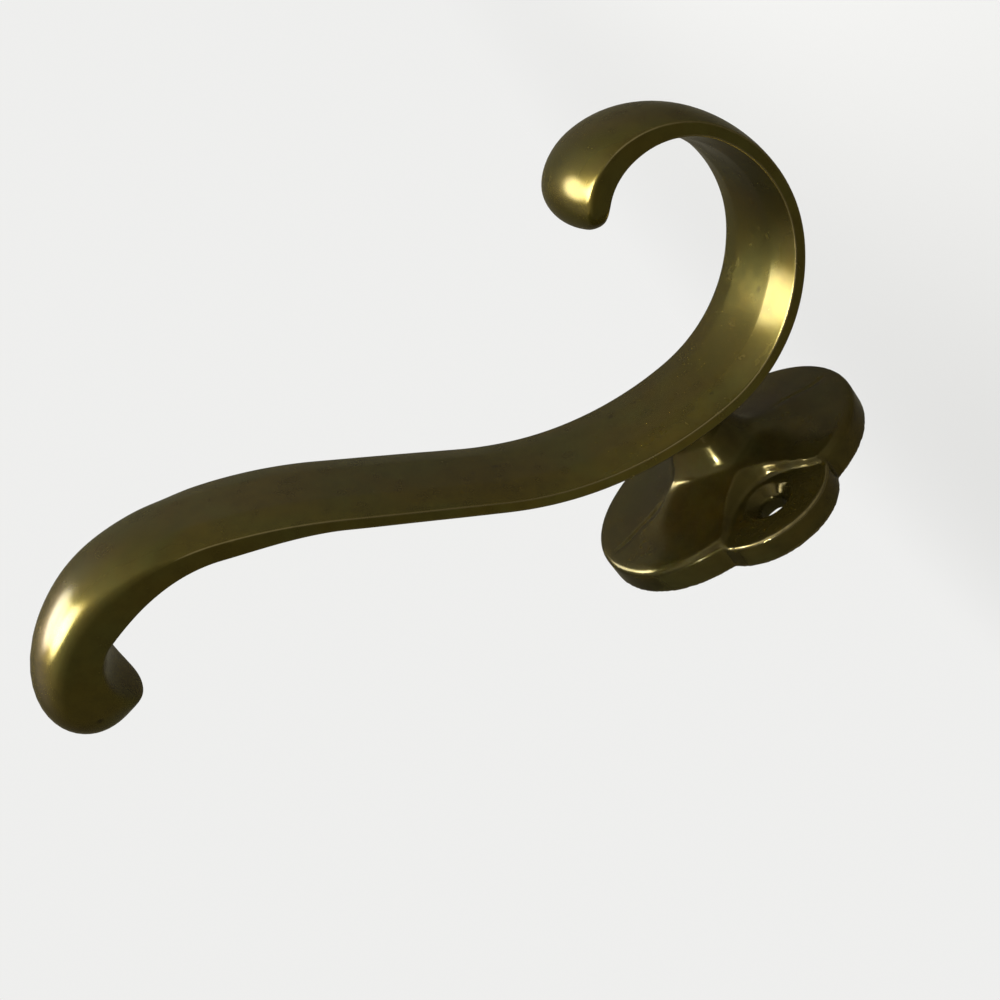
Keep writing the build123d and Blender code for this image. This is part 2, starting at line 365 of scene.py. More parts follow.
@dataclass
class Strap:
    """The S-shaped strap: hat hook above, coat hook below, one skin over both.

    Attributes:
        neck: Out and up of the place where the stem meets it.
        hat_runs, coat_runs: Its two paths from there.
        *_half_width, *_side, *_rise, *_back: The section's half width, the height of its flat
            sides, and the rise of its front and back, at places along the paths.
        hat_end, coat_end: Lengths over which each end closes in thickness and in width.
        crisp, hat_tip_soft, coat_tip_soft: How far edges are worn, along it and at its tips.
        profile: The section's shape.
    """
    neck: Pair = (20.1 * MM, -4.3 * MM)
    hat_runs: tuple[Run, ...] = (Run(59.0 * MM, 37.7), Run(24.6 * MM), Run(85.3 * MM, -12.8),
                                 Run(32.7 * MM, -40.2), Run(15.8 * MM, -86.2))
    coat_runs: tuple[Run, ...] = (Run(25.5 * MM, -60.1), Run(20.1 * MM, -63.5),
                                  Run(13.4 * MM, -63.5), Run(9.0 * MM, -68.5))
    neck_half_width: float = 12.5 * MM
    hat_half_width: float = 13.4 * MM
    hat_roll_half_width: float = 11.9 * MM
    hat_tip_half_width: float = 11.1 * MM
    belly_half_width: float = 11.4 * MM
    coat_tip_half_width: float = 11.0 * MM
    side: float = 1.7 * MM
    sweep_side: float = 2.7 * MM
    bend_side: float = 4.1 * MM
    hat_tip_side: float = 8.0 * MM
    belly_side: float = 1.9 * MM
    coat_tip_side: float = 3.6 * MM
    rise: float = 1.0 * MM
    sweep_rise: float = 1.2 * MM
    bend_rise: float = 4.5 * MM
    hat_tip_rise: float = 7.1 * MM
    coat_tip_rise: float = 0.7 * MM
    back: float = 2.6 * MM
    bend_back: float = 0.9 * MM
    hat_tip_back: float = 0.6 * MM
    belly_back: float = 1.8 * MM
    coat_tip_back: float = 2.0 * MM
    hat_end: Pair = (16.5 * MM, 20.0 * MM)
    coat_end: Pair = (7.3 * MM, 4.6 * MM)
    crisp: float = 0.13 * MM
    hat_tip_soft: float = 1.5 * MM
    coat_tip_soft: float = 1.1 * MM
    profile: Profile = field(default_factory=Profile)

    @staticmethod
    def reaches(runs: tuple[Run, ...]) -> list[float]:
        """Distances from the neck to the end of each run.

        Args:
            runs: The path's runs.

        Returns:
            One distance for each run.
        """
        return list(np.cumsum([run.length for run in runs]))

    def hat_arm(self) -> Arm:
        """The hat hook, whose front is the outside of its bend."""
        _, straight, sweep, bend, end = self.reaches(self.hat_runs)
        return Arm(
            self.hat_runs, 0.0, False, *self.hat_end,
            half_width=Law(((0, self.neck_half_width), (straight, self.hat_half_width),
                            (bend, self.hat_roll_half_width), (end, self.hat_tip_half_width))),
            side=Law(((0, self.side), (straight, self.side), (sweep, self.sweep_side),
                      (bend, self.bend_side), (end, self.hat_tip_side))),
            face=Law(((0, self.rise), (straight, self.rise), (sweep, self.sweep_rise),
                      (bend, self.bend_rise), (end, self.hat_tip_rise))),
            back=Law(((0, self.back), (straight, self.back), (bend, self.bend_back),
                      (end, self.hat_tip_back))),
            softness=Law(((0, self.crisp), (sweep, self.crisp), (end, self.hat_tip_soft))),
            neck=self.neck, dome_range=(self.sweep_rise, (self.sweep_rise + self.bend_rise) / 2))

    def coat_arm(self) -> Arm:
        """The coat hook, whose front is the inside of its curl."""
        drop, belly, rise, end = self.reaches(self.coat_runs)
        return Arm(
            self.coat_runs, pi, True, *self.coat_end,
            half_width=Law(((0, self.neck_half_width), (belly, self.belly_half_width),
                            (end, self.coat_tip_half_width))),
            side=Law(((0, self.side), (drop, self.side), (belly, self.belly_side),
                      (end, self.coat_tip_side))),
            face=Law(((0, self.rise), (belly, self.rise), (end, self.coat_tip_rise))),
            back=Law(((0, self.back), (belly, self.belly_back), (end, self.coat_tip_back))),
            softness=Law(((0, self.crisp), (rise, self.crisp), (end, self.coat_tip_soft))),
            neck=self.neck, dome_range=(self.rise, self.hat_tip_rise))

    def build(self) -> Object:
        """Skin the sections of both arms and close the two ends.

        Returns:
            The strap as a closed mesh object.
        """
        rings = self.coat_arm().rings(self.profile)[:0:-1] + self.hat_arm().rings(self.profile)
        return skin("strap", rings)


# ---- Mesh helpers ----
def mesh_object(name: str, verts: np.ndarray, faces: list[tuple[int, ...]]) -> Object:
    """Make an object from points and faces, with its normals facing outwards.

    Args:
        name: Name of the object.
        verts: Rows of (x, y, z) in metres.
        faces: Point numbers of each face.

    Returns:
        The object, linked to the scene.
    """
    mesh = bpy.data.meshes.new(name)
    mesh.from_pydata([tuple(map(float, v)) for v in verts], [], faces)
    work = bmesh.new()
    work.from_mesh(mesh)
    bmesh.ops.recalc_face_normals(work, faces=work.faces)
    work.to_mesh(mesh)
    work.free()
    obj = bpy.data.objects.new(name, mesh)
    bpy.context.scene.collection.objects.link(obj)
    return obj


def bands(rows: int, count: int) -> list[tuple[int, ...]]:
    """Faces between rings of equally many points.

    Args:
        rows: How many rings.
        count: Points in each.

    Returns:
        Point numbers of each face.
    """
    return [(row * count + i, row * count + (i + 1) % count,
             (row + 1) * count + (i + 1) % count, (row + 1) * count + i)
            for row in range(rows - 1) for i in range(count)]


def skin(name: str, rings: list[np.ndarray]) -> Object:
    """Close a surface over rings of equally many points, with a point at each end.

    Args:
        name: Name of the object.
        rings: The rings, in order.

    Returns:
        The closed mesh object.
    """
    count = len(rings[0])
    verts = np.concatenate(rings + [rings[0].mean(0)[None], rings[-1].mean(0)[None]])
    first, last = len(verts) - 2, len(verts) - 1
    top = (len(rings) - 1) * count
    faces = bands(len(rings), count)
    faces += [(first, (i + 1) % count, i) for i in range(count)]
    faces += [(last, top + i, top + (i + 1) % count) for i in range(count)]
    return mesh_object(name, verts, faces)


def revolved(name: str, outline: list[Pair], steps: int) -> Object:
    """Revolve an outline about the axis through the rose's centre, out of the wall.

    Args:
        name: Name of the object.
        outline: (radius, height above the wall) from foot to head.
        steps: Points round the circle.

    Returns:
        The closed mesh object.
    """
    turn = np.linspace(0, 2 * pi, steps, endpoint=False)
    rings = [np.stack([radius * np.cos(turn), np.full(steps, -height), radius * np.sin(turn)], 1)
             for radius, height in outline]
    return skin(name, rings)


def apply_modifier(obj: Object, kind: str, **settings: object) -> None:
    """Add a modifier and bake its result into the mesh.

    Args:
        obj: The object to change.
        kind: Blender's name of the modifier.
        **settings: The modifier's settings.
    """
    modifier = obj.modifiers.new(kind.lower(), kind)
    for key, value in settings.items():
        setattr(modifier, key, value)
    shaped = bpy.data.meshes.new_from_object(
        obj.evaluated_get(bpy.context.evaluated_depsgraph_get()))
    obj.modifiers.clear()
    old = obj.data
    obj.data = shaped
    bpy.data.meshes.remove(old)


def combine(obj: Object, tool: Object, operation: str) -> None:
    """Cut a closed tool out of an object, or unite them, and delete the tool.

    Args:
        obj: The object to change.
        tool: The closed tool.
        operation: "DIFFERENCE" or "UNION".
    """
    apply_modifier(obj, "BOOLEAN", object=tool, operation=operation, solver="EXACT")
    bpy.data.objects.remove(tool)


def rows_of(items: bpy.types.bpy_prop_collection, key: str) -> np.ndarray:
    """Read three numbers from each of a mesh's points or faces.

    Args:
        items: The points or faces.
        key: What to read.

    Returns:
        One row for each.
    """
    flat = np.empty(len(items) * 3)
    items.foreach_get(key, flat)
    return flat.reshape(-1, 3)


def points_of(obj: Object) -> np.ndarray:
    """Rows of an object's mesh points."""
    return rows_of(obj.data.vertices, "co")


def move_points(obj: Object, places: np.ndarray) -> None:
    """Set an object's mesh points.

    Args:
        obj: The object.
        places: Rows of (x, y, z).
    """
    obj.data.vertices.foreach_set("co", places.ravel())
    obj.data.update()


def smoothstep(low: float, high: float, value: np.ndarray | float) -> np.ndarray:
    """Ease from 0 at low to 1 at high."""
    share = np.clip((value - low) / (high - low), 0, 1)
    return share * share * (3 - 2 * share)


# ---- Rose and stem ----
@dataclass
class Rose:
    """The lobed rose with its dished screw pockets, and the stem that stands out of it.

    Attributes:
        shoulder, hub, stem: Radius and height of the face's swelling, going inwards.
        face_slopes: Its slope at the centre, the stem, the hub, the shoulder and the rim.
        diamond: Power of the hub's outline: 2 is a circle, and less has four ridges.
        diamond_fade: Shares of the way to the rim over which the ridges fade out.
        pocket_flare: How much wider a pocket is than its foot, each a (degrees from the way
            inwards, factor).
        pocket_draft: Degrees that a pocket's wall leans.
        veins, vein_ends: Where the thin creases start and end, as distances over which they fade.
        vein_wander: Height and length of the waves in a crease.
        steps, rows, rim_rings: Mesh points round the blank, and rings across its face and rim.
        smoothing: Passes that soften the edges.
    """
    half_height: float = 25.0 * MM
    half_width: float = 25.4 * MM
    tall_lobe_radius: float = 18.8 * MM
    side_lobe_radius: float = 11.7 * MM
    rim: float = 4.8 * MM
    rim_rounding: float = 0.8 * MM
    shoulder: Pair = (14.0 * MM, 6.5 * MM)
    hub: Pair = (8.5 * MM, 8.3 * MM)
    stem: Pair = (5.8 * MM, 13.0 * MM)
    face_slopes: tuple[float, ...] = (0.0, -2.2, -0.55, -0.26, -0.15)
    diamond: float = 1.4
    diamond_fade: Pair = (0.55, 1.0)
    stem_head: float = 18.2 * MM
    screw_spacing: float = 32.0 * MM
    screw_hole_radius: float = 2.4 * MM
    screw_head_radius: float = 4.2 * MM
    pocket_foot: float = 5.0 * MM
    pocket_flare: tuple[Pair, ...] = (
        (0.0, 1.0), (25.0, 1.0), (45.0, 1.06), (62.0, 1.16), (80.0, 1.36), (93.0, 1.62),
        (103.0, 2.1), (120.0, 3.4), (180.0, 4.0))
    pocket_floor: float = 4.4 * MM
    pocket_draft: float = 22.0
    pocket_fillet: float = 1.0 * MM
    voxel: float = 0.3 * MM
    smoothing: int = 8
    veins: Pair = (10.5 * MM, 14 * MM)
    vein_ends: Pair = (21 * MM, 24 * MM)
    vein_wander: tuple[Pair, ...] = ((0.35 * MM, 3.1 * MM), (0.2 * MM, 1.3 * MM))
    vein_depth: float = 0.2 * MM
    vein_width: float = 0.5 * MM
    steps: int = 720
    rows: int = 70
    rim_rings: int = 7

    def outline(self, angle: np.ndarray) -> np.ndarray:
        """Distance from the centre to the edge of the rose.

        Args:
            angle: Directions, measured from +X towards +Z.

        Returns:
            The outermost lobe's distance in each direction.
        """
        far = np.zeros_like(angle)
        tall = self.half_height - self.tall_lobe_radius
        wide = self.half_width - self.side_lobe_radius
        lobes = ((0.0, wide, self.side_lobe_radius), (pi / 2, tall, self.tall_lobe_radius),
                 (pi, wide, self.side_lobe_radius), (3 * pi / 2, tall, self.tall_lobe_radius))
        for direction, centre, radius in lobes:
            off = centre * np.sin(angle - direction)
            inside = np.maximum(radius ** 2 - off ** 2, 0)
            reach = np.where(np.abs(off) < radius,
                             centre * np.cos(angle - direction) + np.sqrt(inside), 0)
            far = np.maximum(far, reach)
        return far

    def facing(self, turn: np.ndarray) -> np.ndarray:
        """How far the hub's diamond falls short of a circle.

        Args:
            turn: Directions, measured from +X towards +Z.

        Returns:
            1 on the four ridges and less between them.
        """
        return (np.abs(np.cos(turn)) ** self.diamond
                + np.abs(np.sin(turn)) ** self.diamond) ** (-1 / self.diamond)

    def swelling(self, radius: np.ndarray) -> np.ndarray:
        """Height of the rose's face along a ridge.

        Args:
            radius: Distances from the centre.

        Returns:
            Heights above the wall.
        """
        edge = max(self.half_height, self.half_width) - self.rim_rounding
        radii = np.array([0.0, self.stem[0], self.hub[0], self.shoulder[0], edge])
        heights = np.array([self.stem[1], self.stem[1], self.hub[1], self.shoulder[1], self.rim])
        return hermite(radii, heights, np.array(self.face_slopes), radius)

    def blank(self) -> Object:
        """The rose before its pockets are sunk.

        Returns:
            A closed mesh object.
        """
        turn = np.linspace(0, 2 * pi, self.steps, endpoint=False)
        edge = self.outline(turn)

        def ring(distance: np.ndarray, height: np.ndarray) -> np.ndarray:
            return np.stack([distance * np.cos(turn), -height, distance * np.sin(turn)], 1)

        low = np.zeros(self.steps)
        rings = [ring(edge * share, low) for share in (0.02, 0.4, 0.8, 1.0)]
        for index in range(self.rim_rings):
            angle = pi / 2 * index / (self.rim_rings - 1)
            rings.append(ring(edge - self.rim_rounding * (1 - cos(angle)),
                              low + self.rim - self.rim_rounding * (1 - sin(angle))))
        inner = edge - self.rim_rounding
        facing = self.facing(turn)
        for row in range(1, self.rows):
            share = 1 - row / self.rows
            ridged = inner * share / (facing + (1 - facing) * smoothstep(*self.diamond_fade, share))
            rings.append(ring(inner * share, np.maximum(self.swelling(ridged), self.rim)))
        return skin("rose", rings)

    def pocket(self, side: int) -> Object:
        """Tool for one dished pocket, flat floored, its wall flaring out to the lobe's two cusps.

        Args:
            side: -1 or 1, the side of the rose.

        Returns:
            The closed tool.
        """
        slope = tan(radians(self.pocket_draft))
        bend = radians(90 - self.pocket_draft)
        start = self.pocket_foot - self.pocket_fillet * tan(bend / 2)
        fillet_steps = 10
        arc = [(start + self.pocket_fillet * sin(bend * i / fillet_steps),
                self.pocket_floor + self.pocket_fillet * (1 - cos(bend * i / fillet_steps)))
               for i in range(fillet_steps + 1)]
        head = 4 * self.pocket_floor
        top = self.pocket_foot + (head - self.pocket_floor) * slope
        outline = [(start / 2, self.pocket_floor)] + arc + [(top, head)]
        tool = revolved("pocket", outline, 256)
        places = points_of(tool)
        turn = np.degrees(np.abs(np.arctan2(places[:, 2], -side * places[:, 0])))
        flare = np.interp(turn, *zip(*self.pocket_flare))
        places = places * np.stack([flare, np.ones_like(flare), flare], 1)
        move_points(tool, places + np.array([side * self.screw_spacing / 2, 0, 0]))
        return tool

    def screw_hole(self, side: int) -> Object:
        """Tool for one countersunk screw hole.

        Args:
            side: -1 or 1, the side of the rose.

        Returns:
            The closed tool.
        """
        sink = self.screw_head_radius - self.screw_hole_radius
        clear = self.pocket_fillet / 2
        outline = [(self.screw_hole_radius, -self.rim),
                   (self.screw_hole_radius, self.pocket_floor - sink),
                   (self.screw_head_radius + clear, self.pocket_floor + clear)]
        tool = revolved("screw_hole", outline, 96)
        move_points(tool, points_of(tool) + np.array([side * self.screw_spacing / 2, 0, 0]))
        return tool

    def stem_blank(self) -> Object:
        """The stem from inside the rose to inside the strap, with the hub's four ridges."""
        radius, foot = self.stem
        stem = revolved("stem", [(radius, height) for height in
                                 (self.rim / 2, foot, self.stem_head)], 128)
        places = points_of(stem)
        facing = self.facing(np.arctan2(places[:, 2], places[:, 0]))
        move_points(stem, places * np.stack([facing, np.ones_like(facing), facing], 1))
        return stem

    def press_veins(self, obj: Object) -> None:
        """Press the thin crease that runs along the middle of the top and bottom lobes.

        Args:
            obj: The rose.
        """
        places = points_of(obj)
        x, out, z = places[:, 0], -places[:, 1], places[:, 2]
        along = np.abs(z)
        window = smoothstep(*self.veins, along) * (1 - smoothstep(*self.vein_ends, along))
        wander = sum(height * np.sin(z / length + turn)
                     for turn, (height, length) in enumerate(self.vein_wander))
        groove = np.exp(-((x - wander) / self.vein_width) ** 2)
        front = out > self.rim - self.vein_depth
        places[:, 1] += np.where(front, self.vein_depth * groove * window, 0)
        move_points(obj, places)

    def build(self) -> Object:
        """Cast the rose and stem, sink the pockets and soften every edge.

        Returns:
            The rose with its stem as one closed mesh object.
        """
        rose = self.blank()
        # Holes go first: cut after the pockets, the second one doesn't come out closed.
        for make in (self.screw_hole, self.pocket):
            for side in (-1, 1):
                combine(rose, make(side), "DIFFERENCE")
        combine(rose, self.stem_blank(), "UNION")
        apply_modifier(rose, "REMESH", mode="VOXEL", voxel_size=self.voxel)
        apply_modifier(rose, "SMOOTH", factor=0.5, iterations=self.smoothing)
        self.press_veins(rose)
        return rose


def hermite(knots: np.ndarray, values: np.ndarray, slopes: np.ndarray,
            where: np.ndarray) -> np.ndarray:
    """Cubic curve through knots with a given slope at each.

    Args:
        knots: Places of the knots, rising.
        values: Values there.
        slopes: Slopes there.
        where: Places to read.

    Returns:
        The curve's values.
    """
    span = np.clip(np.searchsorted(knots, where, side="right") - 1, 0, len(knots) - 2)
    width = knots[span + 1] - knots[span]
    t = np.clip((where - knots[span]) / width, 0, 1)
    return ((2 * t ** 3 - 3 * t ** 2 + 1) * values[span]
            + (t ** 3 - 2 * t ** 2 + t) * width * slopes[span]
            + (3 * t ** 2 - 2 * t ** 3) * values[span + 1]
            + (t ** 3 - t ** 2) * width * slopes[span + 1])


# ---- Shader node groups shared by the finishes ----
class Bench:
    """Places nodes in a node tree and wires them."""

    def __init__(self, tree: bpy.types.NodeTree) -> None:
        """Work on a tree.

        Args:
            tree: The tree, whose nodes are cleared.
        """
        self.tree = tree
        tree.nodes.clear()

    def add(self, kind: str, inputs: dict | None = None, **settings: object) -> bpy.types.Node:
        """Add a node.

        Args:
            kind: Blender's name of the node type.
            inputs: Socket names or numbers, each with a value or a socket to wire from.
            **settings: The node's own settings.

        Returns:
            The node.
        """
        node = self.tree.nodes.new(kind)
        for key, value in settings.items():
            setattr(node, key, value)
        for key, value in (inputs or {}).items():
            if isinstance(value, Socket):
                self.tree.links.new(value, node.inputs[key])
            else:
                node.inputs[key].default_value = value
        return node

    def math(self, operation: str, first: object, second: object = 0.0) -> Socket:
        """A value worked out from one or two others."""
        return self.add("ShaderNodeMath", {0: first, 1: second}, operation=operation).outputs[0]

    def ramp(self, value: Socket, low: object, high: object,
             first: object = 0.0, last: object = 1.0) -> Socket:
        """Ease a value from one range to another."""
        return self.add("ShaderNodeMapRange", {"Value": value, "From Min": low, "From Max": high,
                                               "To Min": first, "To Max": last},
                        interpolation_type="SMOOTHSTEP").outputs[0]

    def mix(self, share: object, first: object, second: object) -> Socket:
        """Mix two colours."""
        node = self.add("ShaderNodeMix", {0: share, 6: first, 7: second}, data_type="RGBA")
        return node.outputs[2]

    def give(self, outputs: dict[str, Socket]) -> bpy.types.NodeTree:
        """Wire a group's outputs and hand over the group."""
        self.add("NodeGroupOutput", outputs)
        return self.tree

    def noise(self, place: Socket, scale: object, detail: float, **shape: float) -> Socket:
        """Noise at a place, from 0 to 1."""
        return self.add("ShaderNodeTexNoise", {"Vector": place, "Scale": scale, "Detail": detail,
                                               **shape}).outputs[0]


class Effect(Enum):
    """The surface effects, each a node group built once."""
    MOTTLE = "patina mottle"
    # The edge group lightens edges as worn metal and as a painted highlight, and darkens hollows as
    # patina and as painted shade.
    WEAR = "edge wear"
    GRAIN = "casting grain"
    SCRATCHES = "handling scratches"


class EffectShelf:
    """Builds the effect groups and hands them to the finishes."""

    def __init__(self) -> None:
        """Build every group."""
        builders = {Effect.MOTTLE: self.mottle, Effect.WEAR: self.wear,
                    Effect.GRAIN: self.grain, Effect.SCRATCHES: self.scratches}
        self.groups = {effect: build(effect.value) for effect, build in builders.items()}

    @staticmethod
    def start(name: str, inputs: dict[str, float],
              outputs: tuple[str, ...]) -> tuple[Bench, bpy.types.NodeOutputs, Socket]:
        """Begin a group.

        Args:
            name: The group's name.
            inputs: Its value inputs with their defaults.
            outputs: Its value outputs.

        Returns:
            The bench, the group's given values and the place on the object.
        """
        group = bpy.data.node_groups.new(name, "ShaderNodeTree")
        for key, value in inputs.items():
            socket = group.interface.new_socket(key, in_out="INPUT", socket_type="NodeSocketFloat")
            socket.default_value = value
        for key in outputs:
            group.interface.new_socket(key, in_out="OUTPUT", socket_type="NodeSocketFloat")
        bench = Bench(group)
        place = bench.add("ShaderNodeTexCoord").outputs["Object"]
        return bench, bench.add("NodeGroupInput").outputs, place

    def mottle(self, name: str) -> bpy.types.NodeTree:
        """Clouded patina: broad soft clouds with finer blotches on them.

        Args:
            name: The group's name.

        Returns:
            A group with a Clouds and a Blotches mask.
        """
        bench, given, place = self.start(name, {"Scale": 75.0, "Detail scale": 300.0},
                                         ("Clouds", "Blotches"))
        broad = bench.noise(place, given["Scale"], 3.0, Roughness=0.55, Distortion=0.6)
        fine = bench.noise(place, given["Detail scale"], 3.0, Roughness=0.6)
        return bench.give({"Clouds": bench.ramp(broad, 0.3, 0.7),
                           "Blotches": bench.ramp(fine, 0.32, 0.78)})

    def wear(self, name: str) -> bpy.types.NodeTree:
        """Where edges are lightened, as worn metal and as a painted highlight, and where hollows
        are darkened, as patina and as painted shade, broken up by noise.

        Args:
            name: The group's name.

        Returns:
            A group with an edge mask, for worn metal and a painted highlight, and a hollow mask,
            for patina and painted shade.
        """
        inputs = {"Edge start": 0.25, "Edge full": 0.95, "Break up": 0.5,
                  "Grime and shade start": 0.15, "Grime and shade full": 0.8}
        bench, given, place = self.start(name, inputs, ("Rubbed and highlit", "Grimy and shaded"))
        flecks = bench.noise(place, 650.0, 4.0)
        shift = bench.math("MULTIPLY", bench.math("SUBTRACT", flecks, 0.5), given["Break up"])
        layers = [bench.add("ShaderNodeAttribute", attribute_name=layer).outputs["Fac"]
                  for layer in (EDGE, HOLLOW)]
        edge, hollow = (bench.math("ADD", layer, shift) for layer in layers)
        # The first mask lightens edges as worn metal and painted highlight; the second darkens
        # hollows as patina and painted shade.
        return bench.give({"Rubbed and highlit": bench.ramp(edge, given["Edge start"], given["Edge full"]),
                           "Grimy and shaded": bench.ramp(hollow, given["Grime and shade start"], given["Grime and shade full"])})

    def grain(self, name: str) -> bpy.types.NodeTree:
        """Height of the fine cast grain with a few pits.

        Args:
            name: The group's name.

        Returns:
            A group with a Height and a Pits mask.
        """
        inputs = {"Scale": 900.0, "Pit scale": 260.0, "Pit depth": 0.6}
        bench, given, place = self.start(name, inputs, ("Height", "Pits"))
        fine = bench.noise(place, given["Scale"], 4.0, Roughness=0.6)
        cells = bench.add("ShaderNodeTexVoronoi", {"Vector": place, "Scale": given["Pit scale"]})
        sieve = bench.noise(place, 120.0, 2.0)
        pits = bench.math("MULTIPLY", bench.ramp(cells.outputs["Distance"], 0.22, 0.05),
                          bench.ramp(sieve, 0.56, 0.66))
        sunk = bench.math("MULTIPLY", pits, given["Pit depth"])
        return bench.give({"Height": bench.math("SUBTRACT", fine, sunk), "Pits": pits})

    def scratches(self, name: str) -> bpy.types.NodeTree:
        """Thin handling scratches in two crossing directions.

        Args:
            name: The group's name.

        Returns:
            A group with a Lines mask.
        """
        bench, given, place = self.start(name, {"Scale": 60.0, "Amount": 0.15}, ("Lines",))
        lines = []
        for turn, stretch in (((0.5, 0.3, 0.6), (1.0, 26.0, 26.0)),
                              ((1.9, 0.7, -0.4), (30.0, 1.0, 30.0))):
            mapped = bench.add("ShaderNodeMapping",
                               {"Vector": place, "Rotation": turn, "Scale": stretch})
            streak = bench.noise(mapped.outputs[0], given["Scale"], 2.0)
            lines.append(bench.ramp(streak, 0.64, 0.72))
        both = bench.math("MAXIMUM", *lines)
        return bench.give({"Lines": bench.math("MULTIPLY", both, given["Amount"])})


# ---- Finishes ----
@dataclass(frozen=True)
class AgedBrass:
    """Aged brass: a dark, clouded skin over yellow metal, lightened on edges as worn metal and as a
    painted highlight, and darkened in hollows as patina and as painted shade.

    Attributes:
        name: The material's name.
        dark, warm, olive: Colours of the skin, which clouds mix.
        bare_metal_and_highlight: The worn metal on edges, which also stands in for a painted
            highlight along them.
        grime_and_shade: What stays in hollows and pits: patina and dirt, and in hollows also
            painted shade.
        glancing: Tint of the metal's mirror at a glancing angle.
        roughness: Of the skin's smooth and dull parts.
        metal: How metallic the skin is. Rubbed edges are fully metallic.
        mirror: How strongly the rest mirrors, as a specular level.
        lacquer, lacquer_roughness: Share of the surface that keeps a clear lacquer, and how rough.
        rub_and_highlight: How bright edges get, 0 to 1, as worn metal and as a painted highlight.
        blotching: How far dark blotches cover the skin.
        dirt_and_shade: How far dark patina with painted shade covers hollows, and how far dirt
            covers pits.
        dirt_roughness, scratch_roughness: What grimy hollows and scratches add to the roughness.
        grain, grain_depth: Strength and depth of the cast grain.
    """
    name: str
    dark: Colour = (0.045, 0.033, 0.0055, 1.0)
    warm: Colour = (0.079, 0.058, 0.0085, 1.0)
    olive: Colour = (0.070, 0.062, 0.0125, 1.0)
    bare_metal_and_highlight: Colour = (0.34, 0.28, 0.13, 1.0)
    grime_and_shade: Colour = (0.022, 0.016, 0.004, 1.0)
    glancing: Colour = (0.38, 0.36, 0.30, 1.0)
    roughness: tuple[float, float] = (0.20, 0.28)
    metal: float = 0.6
    mirror: float = 0.08
    lacquer: float = 0.14
    lacquer_roughness: float = 0.14
    rub_and_highlight: float = 0.75
    blotching: float = 0.5
    dirt_and_shade: float = 0.8
    dirt_roughness: float = 0.22
    scratch_roughness: float = 0.12
    grain: float = 0.035
    grain_depth: float = 0.3 * MM

    def material(self, shelf: EffectShelf) -> bpy.types.Material:
        """Build the material.

        Args:
            shelf: Where the effect groups are.

        Returns:
            The finished material.
        """
        made = bpy.data.materials.new(self.name)
        made.use_nodes = True
        bench = Bench(made.node_tree)

        mottle, wear, grain, scratches = (
            bench.add("ShaderNodeGroup", node_tree=shelf.groups[effect]).outputs
            for effect in Effect)

        def part(share: float, mask: Socket) -> Socket:
            return bench.math("MULTIPLY", mask, share)

        colour = bench.mix(mottle["Clouds"], self.warm, self.olive)
        colour = bench.mix(part(self.blotching, mottle["Blotches"]), colour, self.dark)
        # Hollows darkened: patina and painted shade.
        colour = bench.mix(part(self.dirt_and_shade, wear["Grimy and shaded"]), colour, self.grime_and_shade)
        # Edges lightened towards plain metal: worn metal and a painted highlight.
        worn_and_highlit = part(self.rub_and_highlight, wear["Rubbed and highlit"])
        colour = bench.mix(worn_and_highlit, colour, self.bare_metal_and_highlight)
        # Pits darkened with the dirt that settles in them.
        colour = bench.mix(part(self.dirt_and_shade, grain["Pits"]), colour, self.grime_and_shade)
        rough = bench.ramp(mottle["Blotches"], 0.0, 1.0, *self.roughness)
        rough = bench.math("ADD", rough, part(self.dirt_roughness, wear["Grimy and shaded"]))
        rough = bench.math("ADD", rough, part(self.scratch_roughness, scratches["Lines"]))
        height = bench.math("SUBTRACT", part(0.5, grain["Height"]), part(0.5, scratches["Lines"]))
        bump = bench.add("ShaderNodeBump", {"Strength": self.grain, "Distance": self.grain_depth,
                                            "Height": height})
        shader = bench.add("ShaderNodeBsdfPrincipled", {
            "Base Color": colour, "Metallic": bench.ramp(worn_and_highlit, 0.0, 0.5, self.metal, 1.0),
            "Roughness": rough, "Normal": bump.outputs[0], "Specular IOR Level": self.mirror,
            "Specular Tint": self.glancing, "Coat Weight": self.lacquer,
            "Coat Roughness": self.lacquer_roughness})
        bench.add("ShaderNodeOutputMaterial", {"Surface": shader.outputs[0]})
        return made


